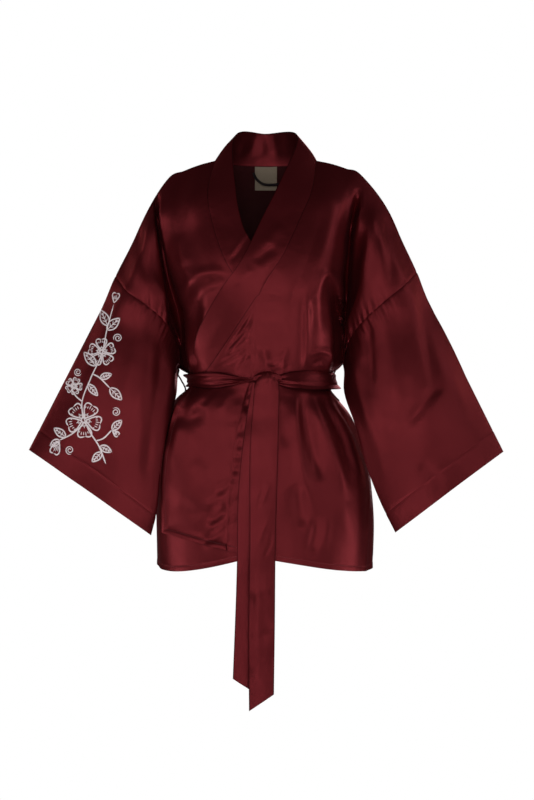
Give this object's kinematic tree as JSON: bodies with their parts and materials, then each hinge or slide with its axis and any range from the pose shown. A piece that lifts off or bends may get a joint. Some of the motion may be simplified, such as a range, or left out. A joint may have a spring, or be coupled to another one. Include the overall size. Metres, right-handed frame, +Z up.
{
  "type": "kimono jacket",
  "caption": "Hip-length satin wrap jacket in worn form without a wearer: band collar, wide open sleeves with deep cuffs, lapped fronts and a tied sash whose ends hang below the hem.",
  "frame": {"origin": "midway between the two neck points of the shoulder lines, where the jacket is held by the shoulders", "axes": "+Z up, -Y the way the front faces, +X towards the wearer's left sleeve"},
  "size_m": [0.8448, 0.2869, 1.024],
  "materials": {
    "satin": "satin sheen, burgundy",
    "label_cloth": "matt woven, cream, bare",
    "loop_cord": "matt cord, near black",
    "thread_loop": "matt thread, dark burgundy"
  },
  "bodies": {
    "root": {"back": "satin", "front_left": "satin", "front_left_overlap": "satin", "front_right": "satin", "front_right_overlap": "satin", "collar_band": "satin", "sleeve_left": "satin", "sleeve_right": "satin", "cuff_band_left": "satin", "cuff_band_right": "satin", "belt_waist": "satin", "belt_knot": "satin", "belt_tail_front": "satin", "belt_tail_back": "satin", "label": "label_cloth", "hang_loop": "loop_cord", "belt_loop_left": "thread_loop", "belt_loop_right": "thread_loop"}
  },
  "joints": []
}
